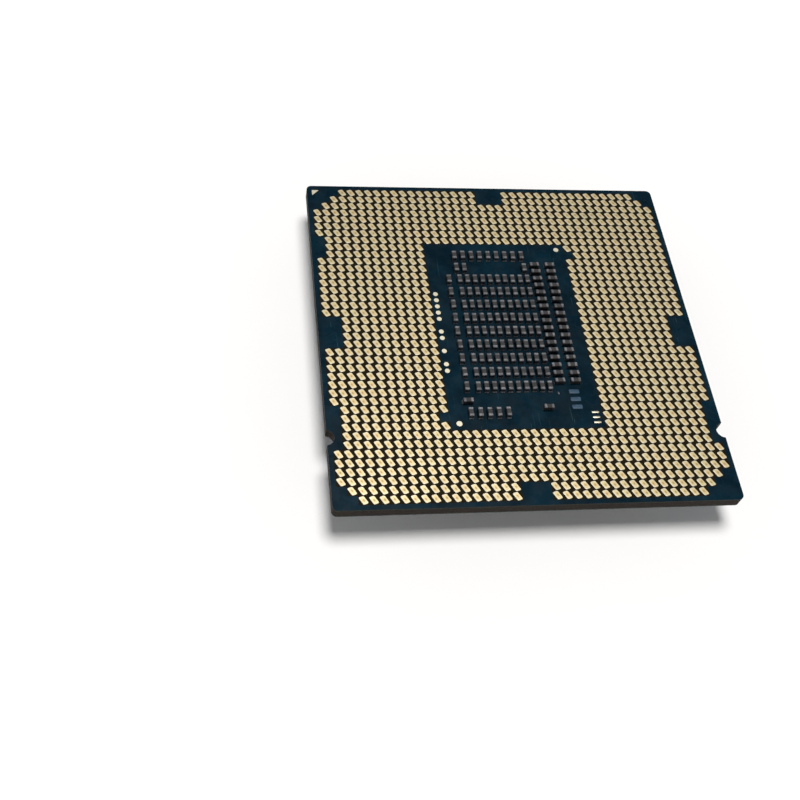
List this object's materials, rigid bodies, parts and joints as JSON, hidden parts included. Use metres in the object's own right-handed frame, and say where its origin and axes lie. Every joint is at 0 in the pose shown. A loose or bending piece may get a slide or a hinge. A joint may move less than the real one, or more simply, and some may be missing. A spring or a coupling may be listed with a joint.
{
  "type": "cpu processor",
  "caption": "Flat square desktop computer processor in a land-grid package: green laminate with gold lands and capacitors on one side and a stepped metal heat spreader lid on the other.",
  "frame": {"origin": "middle of the package, on the lid's flat cooling face, which it lies on", "axes": "+Z out of the land side, so the part lies on its lid with its lands up; pin 1 is at the corner -X +Y, and both edge notches are at Y = -11.5 mm"},
  "size_m": [0.0376, 0.0376, 0.0049],
  "materials": {
    "lid_nickel": "nickel-plated copper, fine blasted grain, satin",
    "silicone_sealant": "black silicone, satin",
    "solder_mask": "dark teal solder mask, semi-gloss",
    "buildup_resin": "cut edge of dark resin film, matt",
    "laminate_core": "cut edge of brown glass-cloth laminate, matt",
    "land_gold": "pale gold plating over nickel, satin",
    "capacitor_ceramic": "dark grey-brown fired ceramic with tinned ends",
    "silicon": "ground silicon, mirror-like",
    "solder": "dull solder alloy",
    "underfill_resin": "filled epoxy, satin",
    "thermal_paste": "grey thermal paste, matt",
    "black_ink": "black marking ink, satin"
  },
  "bodies": {
    "root": {"alignment_dashes": "land_gold", "buildup_layers_land_side": "buildup_resin", "buildup_layers_lid_side": "buildup_resin", "capacitor_block_row_1": "capacitor_ceramic", "capacitor_block_row_2": "capacitor_ceramic", "capacitor_block_row_3": "capacitor_ceramic", "capacitor_block_row_4": "capacitor_ceramic", "capacitor_block_row_5": "capacitor_ceramic", "capacitor_block_row_6": "capacitor_ceramic", "capacitor_block_row_7": "capacitor_ceramic", "capacitor_block_row_8": "capacitor_ceramic", "capacitor_block_row_9": "capacitor_ceramic", "capacitor_column_inner": "capacitor_ceramic", "capacitor_column_outer": "capacitor_ceramic", "capacitor_lying_left": "capacitor_ceramic", "capacitor_lying_right": "capacitor_ceramic", "capacitor_pair_far": "capacitor_ceramic", "capacitor_row_far": "capacitor_ceramic", "capacitor_row_near": "capacitor_ceramic", "capacitor_single_far": "capacitor_ceramic", "covered_pad_1": "solder_mask", "covered_pad_2": "solder_mask", "covered_pad_3": "solder_mask", "die_underfill": "underfill_resin", "fiducial_far_right": "land_gold", "fiducial_lid_side": "land_gold", "fiducial_near_left": "land_gold", "heat_spreader_lid": "lid_nickel", "ink_patch_lid_side": "black_ink", "laminate_core": "laminate_core", "land_field_far": "land_gold", "land_field_left": "land_gold", "land_field_near": "land_gold", "land_field_right": "land_gold", "lid_sealant_bead": "silicone_sealant", "pin_1_mark_land_side": "land_gold", "pin_1_mark_lid_side": "land_gold", "silicon_die": "silicon", "solder_bump_field": "solder", "solder_mask_land_side": "solder_mask", "solder_mask_lid_side": "solder_mask", "test_pad_cluster_lid_side": "land_gold", "test_pad_row_lid_side_1": "land_gold", "test_pad_row_lid_side_2": "land_gold", "test_pad_row_lid_side_3": "land_gold", "test_pads_land_side": "land_gold", "thermal_interface_paste": "thermal_paste"}
  },
  "joints": []
}
